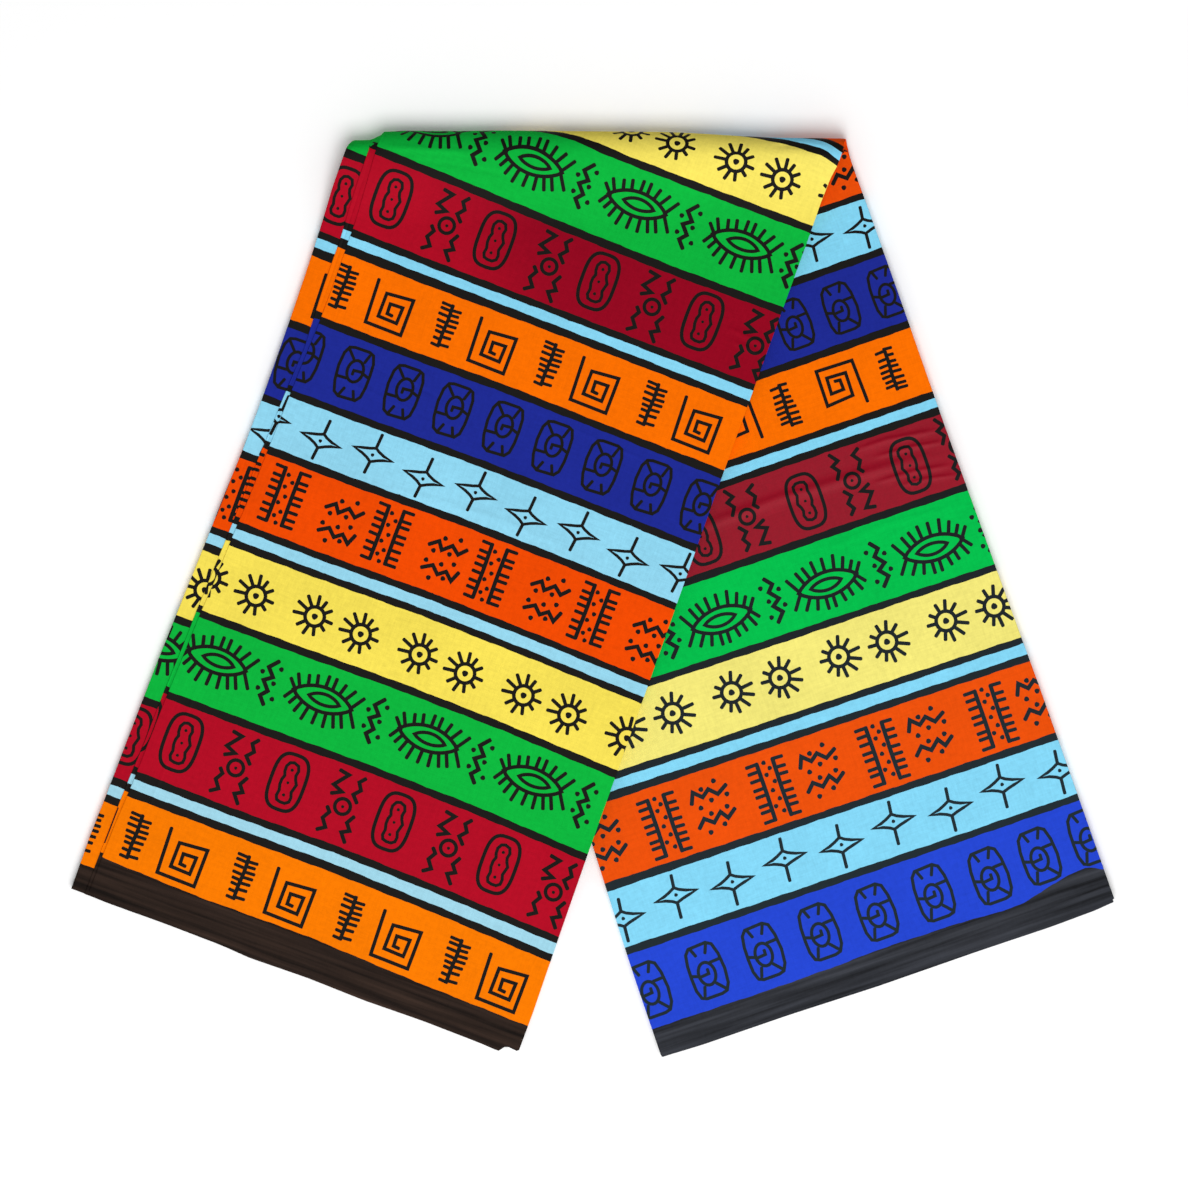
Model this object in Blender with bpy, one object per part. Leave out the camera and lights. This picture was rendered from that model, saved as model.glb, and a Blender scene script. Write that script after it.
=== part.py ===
"""A folded length of wax print cotton, lying flat, as solids.

Six yards of cloth are folded to and fro into a strip of eighteen layers, one foot wide and as long
as the cloth is wide, and the strip is folded once across its middle, on a slant. Its two legs lie
on the table in a V turned over: the left leg lies on the right one near the fold, and beyond the
right leg's edge it comes down to the table.

Metres, +Z up. The table is the plane Z = 0, and the origin is under the middle of the outline.

Each leg is drawn flat first, as one face scored along straight lines. All layers of a leg are cut
from that drawing, so they lie parallel, and each point is then carried to its place.
"""

import math

import bmesh
import bpy

# The cloth
CLOTH_WIDTH = 1.150  # selvage to selvage, which is the strip's length
CLOTH_LENGTH = 6 * 0.9144  # 6 yards
LAYERS = 18
LAYER_WIDTH = CLOTH_LENGTH / LAYERS  # one foot

# The strip, as a stack of layers
STACK = 0.008  # thickness of the eighteen layers
SHEET = 0.001  # wall of a layer that shows
GAP = 0.0003  # between pieces
LEAF = 0.0009  # two layers and the fold that joins them, at the stack's edge
VALLEY_SHARE = 0.35  # how far a valley between two leaves stands out, of their reach

# The fold across the strip
LEAN = math.radians(19.6)  # of each leg from the line square to the fold
FOLD_TURN = math.radians(-0.5)  # of the fold line from the X axis
ROLL = 0.0075  # radius of the roll at the middle of the stack
ROLL_STEPS = 12
HUMP_RUN = 0.048  # over which the left leg rises to the top of the roll
DRAPE_START = 0.0015  # outside the right leg's edge
DRAPE_RUN = 0.048  # over which the left leg comes down to the table
FOLD_MIDDLE = (0.0042, 0.2849)  # of the roll's axis, from the middle of the outline
DIP = 0.0007  # deepest hollow in the top of the stack

# How far apart the scored lines are, and how many follow each bend
LEFT_COLUMN_STEP = 0.056
LEFT_ROW_STEP = 0.078
RIGHT_COLUMN_STEP = 0.050
RIGHT_ROW_STEP = 0.083
HUMP_STEPS = 4
DRAPE_STEPS = 5

# Steps at the edges
REACH = 0.0026  # of the leaves, out from the core of the stack
TOP_STEP = 0.0190  # the top sheet of the left leg, in from the strip's left edge
SECOND_STEP = 0.0134  # the sheet under it
SECOND_SHIFT = 0.0022  # of the sheet under it, out at its selvage
HIDDEN_SHIFT = 0.0046  # of the hidden layers of each leg, out at their selvage
CORNER_STEP = 0.0090  # at the right end of that selvage, where they stay in

# Each leaf of the stack, by turns: what share of the reach it stands out
LEAVES = (
    # left, right, selvage
    (1.00, 0.80, 0.95),
    (0.72, 1.00, 0.60),
    (0.95, 0.70, 1.00),
    (0.80, 0.92, 0.70),
    (1.00, 0.66, 0.90),
    (0.68, 0.96, 0.62),
    (0.90, 0.82, 1.00),
)

# How the pieces look
ROUGHNESS = 0.75
SHARP_ANGLE = math.radians(40)
COLOURS = {
    "top": (0.93, 0.30, 0.02, 1.0),
    "second": (0.35, 0.70, 0.92, 1.0),
    "fold": (0.02, 0.52, 0.08, 1.0),
    "right": (0.04, 0.06, 0.62, 1.0),
    "hidden": (0.45, 0.02, 0.05, 1.0),
}

HALF_WIDTH = LAYER_WIDTH / 2
HALF_LENGTH = CLOTH_WIDTH / 2
HALF_ROLL = ROLL * math.pi / 2
TOP = STACK / 2
BOTTOM = -STACK / 2
LEFT_MIDDLE = 1.5 * STACK + GAP  # height of the middle of the left leg, on the right leg
HUMP = 2 * ROLL + STACK / 2 - LEFT_MIDDLE
SIN, COS = math.sin(LEAN), math.cos(LEAN)
SECOND_TOP = TOP - SHEET - GAP
HIDDEN_TOP = SECOND_TOP - SHEET - GAP


def smooth(x):
    """0 below 0, 1 above 1, and a smooth step between."""
    x = min(1.0, max(0.0, x))
    return x * x * (3 - 2 * x)


def drop(t, y):
    """How far the left leg has come down where it has left the right leg's edge behind."""
    across = t * COS - (HALF_ROLL - y) * SIN
    outside = -HALF_WIDTH - across - DRAPE_START
    return (STACK + GAP) * smooth(outside / DRAPE_RUN)


def dip(u, v, up):
    """The shallow hollows in the stack's upper face, which die out towards the table."""
    wave = math.sin(7.3 * v + 21 * u + 0.4) * math.sin(17 * u - 4.1 * v + 1.1)
    return -DIP * (0.5 + 0.5 * wave) * up


def place(u, v, n):
    """The point u across the strip, v along it and n up through the stack, all from the middle."""
    t = v * SIN + u * COS
    s = v * COS - u * SIN
    radius = ROLL + n
    up = (n - BOTTOM) / STACK
    if s <= -HALF_ROLL:
        y = s + HALF_ROLL
        z = LEFT_MIDDLE + n + HUMP * smooth(1 + y / HUMP_RUN) - drop(t, y) + dip(u, v, up)
    elif s < HALF_ROLL:
        turn = (s + HALF_ROLL) / ROLL
        y = radius * math.sin(turn)
        sink = drop(t, y) - dip(u, v, up)
        z = ROLL + STACK / 2 + radius * math.cos(turn) - math.cos(turn / 2) ** 2 * sink
    else:
        y = HALF_ROLL - s
        z = STACK / 2 - n + dip(u, v, 1 - up)
    return (
        FOLD_MIDDLE[0] + t * math.cos(FOLD_TURN) - y * math.sin(FOLD_TURN),
        FOLD_MIDDLE[1] + t * math.sin(FOLD_TURN) + y * math.cos(FOLD_TURN),
        z,
    )


def drawing(corners, scores):
    """A flat face with these corners, scored along lines given by a point and a direction."""
    shape = bmesh.new()
    shape.faces.new([shape.verts.new((*corner, 0)) for corner in corners])
    for (u, v), (du, dv) in scores:
        bmesh.ops.bisect_plane(
            shape,
            geom=[*shape.verts, *shape.edges, *shape.faces],
            dist=1e-6,
            plane_co=(u, v, 0),
            plane_no=(dv, -du, 0),
        )
    bmesh.ops.triangulate(shape, faces=shape.faces)
    return shape


def evenly(low, high, step):
    count = round((high - low) / step)
    return [low + (high - low) * k / count for k in range(1, count)]


def on_fold_line(s, u):
    """v where the line at distance s from the fold's middle has that u."""
    return (s + u * SIN) / COS


def outline(near_v, far_s):
    """Corners of a stretch, from its selvage to the fold line at distance far_s."""
    return (
        (-HALF_WIDTH, near_v),
        (HALF_WIDTH, near_v),
        (HALF_WIDTH, on_fold_line(far_s, HALF_WIDTH)),
        (-HALF_WIDTH, on_fold_line(far_s, -HALF_WIDTH)),
    )


def columns(*values):
    return [((u, 0), (0, 1)) for u in values]


def rows(*values):
    return [((0, v), (1, 0)) for v in values]


def fold_rows(*values):
    return [((0, s / COS), (COS, SIN)) for s in values]


def drape_rows(count):
    """Lines side by side with the right leg's edge, where the left leg comes down."""
    lines = []
    for k in range(count + 1):
        outside = DRAPE_START + DRAPE_RUN * k / count
        v = (-HALF_WIDTH - outside) / (2 * SIN * COS)
        lines.append(((0, v), (2 * SIN * COS, -(COS * COS - SIN * SIN))))
    return lines


def material(name, colour):
    made = bpy.data.materials.new(name)
    made.use_nodes = True
    shader = made.node_tree.nodes["Principled BSDF"]
    shader.inputs["Base Color"].default_value = colour
    shader.inputs["Roughness"].default_value = ROUGHNESS
    shader.inputs["Metallic"].default_value = 0.0
    return made


def rim_of(shape):
    """The drawing's outline as one closed run of vertices."""
    following = {}
    for edge in shape.edges:
        if edge.is_boundary:
            loop = edge.link_loops[0]
            following[loop.vert] = loop.link_loop_next.vert
    start = next(iter(following))
    run = [start]
    while following[run[-1]] is not start:
        run.append(following[run[-1]])
    return run


def leaves_between(high, low):
    """(n, left, right, selvage) of each run round a stack's edge, from the top down."""
    count = max(1, round(abs(high - low) / LEAF))
    pitch = (high - low) / count
    runs = []
    for i in range(count):
        leaf = [REACH * share for share in LEAVES[i % len(LEAVES)]]
        after = [REACH * share for share in LEAVES[(i + 1) % len(LEAVES)]]
        upper = high - i * pitch
        runs.append((upper - 0.25 * pitch, *leaf))
        runs.append((upper - 0.75 * pitch, *leaf))
        if i < count - 1:
            valley = [VALLEY_SHARE * min(pair) for pair in zip(leaf, after)]
            runs.append((upper - pitch, *valley))
    return runs


def solid(name, drawn, high, low, keep, colour, layered=False):
    """The part of a drawing for which keep(u, v) holds, from level high down to level low."""
    flat = drawn.copy()
    outside = [face for face in flat.faces if not keep(*face.calc_center_median().xy)]
    bmesh.ops.delete(flat, geom=outside, context="FACES")
    us = [vert.co.x for vert in flat.verts]
    vs = [vert.co.y for vert in flat.verts]
    u_low, u_high = min(us), max(us)
    selvage_v = min(vs) if -min(vs) > max(vs) else max(vs)
    has_selvage = abs(selvage_v) > 0.9 * HALF_LENGTH
    runs = leaves_between(high, low) if layered else []

    shape = bmesh.new()

    def carried(vert, n, left=0.0, right=0.0, selvage=0.0):
        u, v = vert.co.xy
        out = -left if abs(u - u_low) < 1e-6 else right if abs(u - u_high) < 1e-6 else 0
        u += out
        v += out * SIN / COS  # side by side with the fold line, so the gap there is kept
        if has_selvage and abs(v - selvage_v) < 1e-6:
            v += math.copysign(selvage, selvage_v)
        return shape.verts.new(place(u, v, n))

    above = {vert: carried(vert, high) for vert in flat.verts}
    below = {vert: carried(vert, low) for vert in flat.verts}
    for face in flat.faces:
        shape.faces.new([above[vert] for vert in face.verts])
        shape.faces.new([below[vert] for vert in reversed(face.verts)])
    rim = rim_of(flat)
    bands = [[above[vert] for vert in rim]]
    bands += [[carried(vert, *run) for vert in rim] for run in runs]
    bands.append([below[vert] for vert in rim])
    for upper, lower in zip(bands, bands[1:]):
        for k in range(len(rim)):
            j = (k + 1) % len(rim)
            shape.faces.new((upper[k], upper[j], lower[j]))
            shape.faces.new((upper[k], lower[j], lower[k]))
    flat.free()
    bmesh.ops.recalc_face_normals(shape, faces=shape.faces)
    mesh = bpy.data.meshes.new(name)
    shape.to_mesh(mesh)
    shape.free()
    mesh.shade_smooth()
    mesh.set_sharp_from_angle(angle=SHARP_ANGLE)
    mesh.materials.append(material(name, colour))
    cloth.objects.link(bpy.data.objects.new(name, mesh))


for old in list(bpy.data.objects):
    bpy.data.objects.remove(old)
cloth = bpy.data.collections.new("folded_wax_print_cloth")
bpy.context.scene.collection.children.link(cloth)

CORE_LEFT, CORE_RIGHT = -HALF_WIDTH + REACH, HALF_WIDTH - REACH
TOP_LEFT, SECOND_LEFT = -HALF_WIDTH + TOP_STEP, -HALF_WIDTH + SECOND_STEP
EVEN_COLUMNS = evenly(TOP_LEFT, HALF_WIDTH - CORNER_STEP, LEFT_COLUMN_STEP)

# The left leg: the top sheet, the sheet that shows beside it, and the layers under them
SELVAGE = -HALF_LENGTH
left_leg = drawing(
    outline(SELVAGE - HIDDEN_SHIFT + REACH, -HALF_ROLL - GAP),
    columns(CORE_LEFT, SECOND_LEFT, TOP_LEFT, HALF_WIDTH - CORNER_STEP, CORE_RIGHT)
    + columns(*EVEN_COLUMNS)
    + rows(SELVAGE - SECOND_SHIFT, SELVAGE, *evenly(SELVAGE, 0, LEFT_ROW_STEP))
    + fold_rows(*(-HALF_ROLL - GAP - HUMP_RUN * k / HUMP_STEPS for k in range(1, HUMP_STEPS + 1)))
    + drape_rows(DRAPE_STEPS),
)
solid(
    "left_top_sheet",
    left_leg,
    TOP,
    TOP - SHEET,
    lambda u, v: u > TOP_LEFT and v > SELVAGE,
    COLOURS["top"],
)
solid(
    "left_second_sheet",
    left_leg,
    SECOND_TOP,
    SECOND_TOP - SHEET,
    lambda u, v: u > SECOND_LEFT
    and v > (SELVAGE - SECOND_SHIFT if u < HALF_WIDTH - CORNER_STEP else SELVAGE),
    COLOURS["second"],
)
solid(
    "left_hidden_layers",
    left_leg,
    HIDDEN_TOP,
    BOTTOM,
    lambda u, v: CORE_LEFT < u < CORE_RIGHT
    and (u < HALF_WIDTH - CORNER_STEP or v > SELVAGE),
    COLOURS["hidden"],
    layered=True,
)

# The fold: the top sheet goes on round the roll of the other layers
fold = drawing(
    (
        (-HALF_WIDTH, on_fold_line(-HALF_ROLL, -HALF_WIDTH)),
        (HALF_WIDTH, on_fold_line(-HALF_ROLL, HALF_WIDTH)),
        (HALF_WIDTH, on_fold_line(HALF_ROLL, HALF_WIDTH)),
        (-HALF_WIDTH, on_fold_line(HALF_ROLL, -HALF_WIDTH)),
    ),
    columns(CORE_LEFT, TOP_LEFT, CORE_RIGHT)
    + columns(*EVEN_COLUMNS)
    + fold_rows(*evenly(-HALF_ROLL, HALF_ROLL, 2 * HALF_ROLL / ROLL_STEPS)),
)
solid(
    "fold_top_sheet",
    fold,
    TOP,
    TOP - SHEET,
    lambda u, v: u > TOP_LEFT,
    COLOURS["fold"],
)
solid(
    "fold_hidden_layers",
    fold,
    SECOND_TOP,
    BOTTOM,
    lambda u, v: CORE_LEFT < u < CORE_RIGHT,
    COLOURS["hidden"],
    layered=True,
)

# The right leg: what was the stack's underside is its top sheet
right_leg = drawing(
    outline(HALF_LENGTH + HIDDEN_SHIFT - REACH, HALF_ROLL + GAP)[::-1],
    columns(CORE_LEFT, CORE_RIGHT)
    + columns(*evenly(CORE_LEFT, CORE_RIGHT, RIGHT_COLUMN_STEP))
    + rows(HALF_LENGTH, *evenly(0, HALF_LENGTH, RIGHT_ROW_STEP)),
)
solid(
    "right_top_sheet",
    right_leg,
    BOTTOM,
    BOTTOM + SHEET,
    lambda u, v: v < HALF_LENGTH,
    COLOURS["right"],
)
solid(
    "right_hidden_layers",
    right_leg,
    BOTTOM + SHEET + GAP,
    TOP,
    lambda u, v: CORE_LEFT < u < CORE_RIGHT,
    COLOURS["hidden"],
    layered=True,
)
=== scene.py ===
"""The looks of a folded length of wax print cotton, on the frame of its solids.

Every stretch of the cloth that shows is drawn flat first, in millimetres: u across the folded
strip, v along it, both from its middle. The printed lines and motifs are cut into that drawing,
and each point is then carried to its place on the folded stack, as the solids' points are.
"""

import math

import bpy
import numpy as np
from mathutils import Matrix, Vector
from mathutils.geometry import delaunay_2d_cdt


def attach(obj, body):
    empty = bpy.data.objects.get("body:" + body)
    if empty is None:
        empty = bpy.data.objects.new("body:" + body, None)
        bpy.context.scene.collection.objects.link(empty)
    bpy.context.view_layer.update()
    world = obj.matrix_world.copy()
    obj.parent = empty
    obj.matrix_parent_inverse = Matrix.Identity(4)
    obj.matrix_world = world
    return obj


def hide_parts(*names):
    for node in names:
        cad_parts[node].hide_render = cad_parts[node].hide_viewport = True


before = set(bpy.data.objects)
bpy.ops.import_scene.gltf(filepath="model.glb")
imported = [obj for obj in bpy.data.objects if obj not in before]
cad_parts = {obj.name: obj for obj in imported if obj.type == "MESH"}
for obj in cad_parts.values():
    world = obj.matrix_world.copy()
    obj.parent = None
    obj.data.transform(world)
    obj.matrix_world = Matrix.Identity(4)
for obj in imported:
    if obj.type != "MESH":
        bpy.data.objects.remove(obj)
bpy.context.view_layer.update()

# The strip, as the solids have it, in millimetres
HALF_WIDTH = 152.4
STACK = 8.0  # thickness of the eighteen layers
GAP = 0.3  # between the legs
LAYER = STACK / 18
LEAN = math.radians(19.6)  # of each leg from the line square to the fold
FOLD_TURN = math.radians(-0.5)  # of the fold line from the X axis
ROLL = 7.5  # radius of the roll at the middle of the stack
HUMP_RUN = 48.0  # over which the left leg rises to the top of the roll
DRAPE_START = 1.5  # outside the right leg's edge
DRAPE_RUN = 48.0  # over which the left leg comes down to the table
FOLD_MIDDLE = (4.2, 284.9)  # of the roll's axis
DIP = 0.7  # deepest hollow in the top of the stack
HALF_ROLL = ROLL * math.pi / 2
TOP, BOTTOM = STACK / 2, -STACK / 2
LEFT_MIDDLE = 1.5 * STACK + GAP  # height of the middle of the left leg, on the right leg
HUMP = 2 * ROLL + STACK / 2 - LEFT_MIDDLE
SIN, COS = math.sin(LEAN), math.cos(LEAN)

# Each colour as it looks near the left leg's selvage and far along the cloth, in 8 bits, and between
# which two v, in metres, the one turns into the other. The turn is partly the cloth's own colour and
# partly painted light: the brighter and darker shade that the light gave the cloth in those places
TINTS_AND_SHADE = {
    "orange": ((252, 125, 2), (255, 114, 1), -0.45, -0.2),
    "sky": ((164, 217, 235), (134, 217, 248), -0.58, 0.0),
    "crimson": ((180, 13, 37), (150, 8, 33), -0.2, -0.07),
    "green": ((14, 184, 63), (5, 194, 78), -0.05, 0.25),
    "yellow": ((250, 228, 89), (246, 235, 124), -0.1, 0.2),
    "red": ((243, 76, 3), (238, 82, 12), -0.2, 0.2),
    "blue": ((32, 44, 150), (38, 71, 211), 0.18, 0.45),
    "selvage": ((42, 30, 24), (46, 48, 54), -0.1, 0.1),
    "ink": ((24, 22, 20), (30, 42, 48), 0.2, 0.5),
}
LIT = 1.07  # how bright white cloth looks in this light

# The order of the bands, which comes three times along the cloth, from the left leg's selvage on
REPEAT = ("orange", "sky", "crimson", "green", "yellow", "sky", "red", "sky", "blue")

# Where each band begins and ends along the strip, at five places across it. Black lines lie between
# the bands, and the last one ends at the right leg's selvage.
LINE_PLACES = (-150.0, -75.0, 0.0, 75.0, 150.0)
MIDDLE = LINE_PLACES.index(0.0)
BANDS = (
    ((-550.2, -553.0, -552.7, -556.2, -558.3), (-507.4, -508.0, -508.4, -510.4, -514.2)),
    ((-502.1, -502.9, -502.7, -505.6, -509.0), (-495.4, -496.2, -496.0, -498.1, -501.6)),
    ((-489.9, -491.4, -491.1, -493.4, -496.9), (-439.2, -439.9, -439.3, -441.0, -444.8)),
    ((-434.2, -434.7, -434.4, -435.9, -440.0), (-382.3, -383.0, -382.4, -383.8, -387.4)),
    ((-377.5, -377.7, -377.4, -379.0, -382.3), (-331.9, -332.4, -331.9, -333.6, -336.4)),
    ((-326.5, -327.8, -327.2, -329.1, -331.8), (-319.9, -320.6, -320.4, -321.8, -324.4)),
    ((-315.0, -316.0, -315.6, -317.4, -320.1), (-267.3, -268.4, -268.0, -269.7, -271.9)),
    ((-262.1, -263.1, -263.2, -264.7, -267.5), (-227.7, -228.4, -228.2, -229.8, -232.0)),
    ((-223.1, -223.4, -223.5, -225.0, -227.1), (-176.7, -177.7, -177.8, -179.3, -181.8)),
    ((-171.5, -172.6, -172.6, -174.7, -175.8), (-128.0, -129.5, -130.2, -131.2, -132.7)),
    ((-122.0, -123.6, -124.9, -126.3, -128.1), (-115.9, -117.9, -118.7, -120.2, -121.1)),
    ((-111.1, -113.1, -114.3, -115.6, -116.8), (-61.1, -63.3, -66.4, -68.6, -68.6)),
    ((-55.5, -57.9, -61.0, -63.1, -63.5), (-5.2, -7.5, -10.8, -12.0, -12.5)),
    ((-0.4, -2.8, -6.0, -7.0, -7.4), (42.0, 40.5, 38.0, 37.0, 37.0)),
    ((46.3, 44.8, 42.5, 41.7, 42.0), (51.6, 50.2, 48.2, 47.7, 48.5)),
    ((56.2, 54.8, 52.8, 52.4, 53.4), (89.0, 89.4, 89.8, 90.2, 90.5)),
    ((93.1, 93.5, 93.9, 94.3, 94.6), (128.0, 128.0, 128.1, 128.6, 128.2)),
    ((132.6, 132.8, 133.0, 133.5, 133.1), (177.6, 177.8, 178.0, 178.6, 178.3)),
    ((182.6, 183.0, 183.4, 183.6, 183.5), (225.0, 225.5, 226.2, 226.9, 227.1)),
    ((229.8, 230.3, 231.0, 231.4, 231.8), (236.8, 237.3, 237.8, 237.5, 238.0)),
    ((241.3, 241.8, 242.3, 242.3, 243.0), (288.6, 289.2, 289.8, 290.1, 290.6)),
    ((294.2, 294.5, 294.8, 294.9, 295.5), (343.0, 343.6, 344.7, 345.6, 346.3)),
    ((347.6, 348.2, 349.6, 350.0, 351.0), (392.5, 394.2, 395.0, 395.8, 396.9)),
    ((397.5, 398.8, 399.6, 400.3, 401.2), (404.1, 405.8, 407.0, 407.8, 408.6)),
    ((409.9, 410.7, 411.7, 412.5, 413.3), (459.6, 460.7, 461.7, 462.3, 462.7)),
    ((465.4, 465.8, 466.3, 467.1, 467.6), (503.2, 504.1, 504.4, 504.9, 504.8)),
    ((508.4, 508.8, 509.3, 509.5, 509.5), (559.0, 559.8, 559.2, 559.4, 552.5)),
)
# How far past its line the right leg's selvage begins, at these u
SELVAGE_WAVE = (
    (-30, 0, 42, 62, 75, 85, 99, 109, 118, 128, 137, 143, 148, 152, 156),
    (0, -0.9, -0.4, 0, 1.3, 2.4, 3.2, 1.6, 0, -1.0, -1.2, -1.0, 0.7, 3.6, 5.0),
)
COLOURS = ["selvage", *(name for band in REPEAT * 3 for name in (band, "ink"))][:-1] + ["selvage"]
STARTS = np.reshape(BANDS, (-1, len(LINE_PLACES)))


def smooth(x):
    """0 below 0, 1 above 1, and a smooth step between."""
    x = np.clip(x, 0.0, 1.0)
    return x * x * (3 - 2 * x)


# The folded form


def dip(u, v):
    """The shallow hollows in the stack's upper face."""
    wave = np.sin(0.0073 * v + 0.021 * u + 0.4) * np.sin(0.017 * u - 0.0041 * v + 1.1)
    return -DIP * (0.5 + 0.5 * wave)


def from_fold(u, v):
    """How far a point of the flat drawing is from the fold line, and how far along it."""
    return v * COS - u * SIN, v * SIN + u * COS


def unfold(s, t):
    """The flat drawing's (u, v) of a point at distance s from the fold line and t along it."""
    return t * COS - s * SIN, s * COS + t * SIN


def place(u, v, n, anchor="middle", bulge=None, settle=None):
    """Where a point of the flat drawing goes: n is its height in the stack, from the middle.

    anchor says from where a layer's length is kept as it goes round the roll: the leg that shows,
    or the middle of the stack. bulge(t) is how much further the roll reaches out at t along it,
    and settle(s, t) how far the cloth has slipped back from it.
    """
    s, t = from_fold(u, v)
    radius = ROLL + n
    reach = radius if bulge is None else radius + bulge(t)
    if anchor == "left":
        run = s + HALF_ROLL - (0 if settle is None else settle(s, t))
        bend = math.pi * reach
    elif anchor == "right":
        bend = math.pi * radius
        run = s - HALF_ROLL + bend
    else:
        bend = 2 * HALF_ROLL
        run = s + HALF_ROLL
    turn = np.clip(run / bend, 0.0, 1.0) * math.pi
    y = np.where(run < 0, run, np.where(run > bend, bend - run, reach * np.sin(turn)))
    up = (n - BOTTOM) / STACK
    outside = -HALF_WIDTH - (t * COS - (HALF_ROLL - y) * SIN) - DRAPE_START
    drop = (STACK + GAP) * smooth(outside / DRAPE_RUN)
    hollow = dip(u, v)
    left = LEFT_MIDDLE + n + HUMP * smooth(1 + y / HUMP_RUN) - drop + hollow * up
    sink = drop - hollow * up
    over = ROLL + STACK / 2 + radius * np.cos(turn) - np.cos(turn / 2) ** 2 * sink
    right = STACK / 2 - n + hollow * (1 - up)
    z = np.where(run < 0, left, np.where(run > bend, right, over))
    x = FOLD_MIDDLE[0] + t * math.cos(FOLD_TURN) - y * math.sin(FOLD_TURN)
    y = FOLD_MIDDLE[1] + t * math.sin(FOLD_TURN) + y * math.cos(FOLD_TURN)
    return np.stack([x, y, z], axis=-1) / 1000


def along(points):
    """Straight lines between a few (place, value) pairs, as a function of the place."""
    places, values = np.array(points, float).T
    return lambda x: np.interp(x, places, values)


# The printed lines


def line_starts(u):
    """Where each colour begins at u, one row for each, with the small waver of the print."""
    u = np.atleast_1d(u)
    inner = np.clip(u, LINE_PLACES[0], LINE_PLACES[-1])
    made = np.array([np.interp(inner, LINE_PLACES, row) for row in STARTS])
    made[-1] += np.interp(u, *SELVAGE_WAVE)
    k = np.arange(len(STARTS))[:, None]
    waver = 0.15 * np.sin(0.21 * u + 2.4 * k) + 0.11 * np.sin(0.47 * u + 5.1 * k)
    return made + waver + 0.07 * np.sin(1.13 * u + 1.7 * k)


# The motifs


def doubled(q):
    """Twice the area of a polygon, above 0 where it runs anticlockwise."""
    return (q[:, 0] * np.roll(q[:, 1], -1) - q[:, 1] * np.roll(q[:, 0], -1)).sum()


TINY = 1e-12
MITRE = 0.45  # least cosine that a stroke's corner is widened by, so that a sharp one stays short
CAP_REACH, CAP_WIDTH = 0.6, 0.62  # of a stroke's rounded ends, by its half width


def unit(vectors):
    return vectors / np.maximum(np.linalg.norm(vectors, axis=1)[:, None], TINY)


def quarter(vectors):
    """The vectors, turned a quarter to the left."""
    return np.stack([-vectors[:, 1], vectors[:, 0]], axis=1)


def stroke(points, width=2.5, closed=False):
    """A line of even width with rounded ends, as polygons: 1 for ink, -1 for a hole in it."""
    p = np.array(points, float)
    half = width / 2
    if closed:
        before, after = p - np.roll(p, 1, 0), np.roll(p, -1, 0) - p
    else:
        steps = np.diff(p, axis=0)
        before, after = np.vstack([steps[:1], steps]), np.vstack([steps, steps[-1:]])
    before, after = unit(before), unit(after)
    side, square = quarter(unit(before + after)), quarter(before)
    reach = half / np.maximum((side * square).sum(1), MITRE)
    left, right = p + side * reach[:, None], p - side * reach[:, None]
    if closed:
        outer, inner = (left, right) if abs(doubled(left)) > abs(doubled(right)) else (right, left)
        return [(1, outer), (-1, inner)]
    start = p[0] - before[0] * half * CAP_REACH
    end = p[-1] + after[-1] * half * CAP_REACH
    near, far = square[0] * half * CAP_WIDTH, quarter(after)[-1] * half * CAP_WIDTH
    return [(1, np.vstack([start + near, left, end + far, end - far, right[::-1], start - near]))]


def strokes(paths, width=2.5):
    return [polygon for path in paths for polygon in stroke(path, width)]


def dot(x, y, r, corners=9):
    """A dot, a little out of round."""
    turn = np.arange(corners) * 2 * math.pi / corners + x
    wobble = 1 + 0.08 * np.sin(3 * turn + y)
    return [(1, np.stack([x + r * wobble * np.cos(turn), y + r * wobble * np.sin(turn)], 1))]


def dots(places, r):
    return [polygon for x, y in places for polygon in dot(x, y, r)]


def oval(x, y, wide, tall, corners=22):
    """Points round an oval of these half widths."""
    turn = np.arange(corners) * 2 * math.pi / corners
    return np.stack([x + wide * np.cos(turn), y + tall * np.sin(turn)], 1)


def superellipse(wide, tall, power, corners=36):
    turn = np.arange(corners) * 2 * math.pi / corners
    c, s = np.cos(turn), np.sin(turn)
    x = wide / 2 * np.sign(c) * np.abs(c) ** (2 / power)
    return np.stack([x, tall / 2 * np.sign(s) * np.abs(s) ** (2 / power)], 1)


def comb():
    left = ((13.9, 7.1), (10.6, 6.9), (6.5, 7.0), (2.0, 6.5), (-1.8, 5.6), (-5.3, 5.1), (-9.9, 4.9),
            (-14.4, 5.1))
    right = ((11.2, 6.9), (7.8, 6.2), (4.1, 7.3), (0.5, 7.1), (-3.5, 6.7), (-7.8, 6.1), (-13.3, 6.5))
    made = stroke([(0.1, 14.4), (0.4, 4.0), (-0.2, -6.0), (-0.1, -15.0)], 2.6)
    made += strokes([[(-reach, y + 0.1), (0, y - 0.3)] for y, reach in left], 2.2)
    return made + strokes([[(0, y - 0.2), (reach, y + 0.2)] for y, reach in right], 2.2)


def spiral():
    path = [
        (-13.4, 16.2), (-13.0, 4.0), (-12.4, -14.0), (13.3, -14.6), (13.6, 10.4),
        (-5.2, 8.9), (-5.5, -7.4), (7.9, -8.0), (8.4, 3.3), (-0.5, 3.0), (-0.3, -3.8), (3.5, -4.2),
    ]
    return stroke(path, 2.4)


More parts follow.
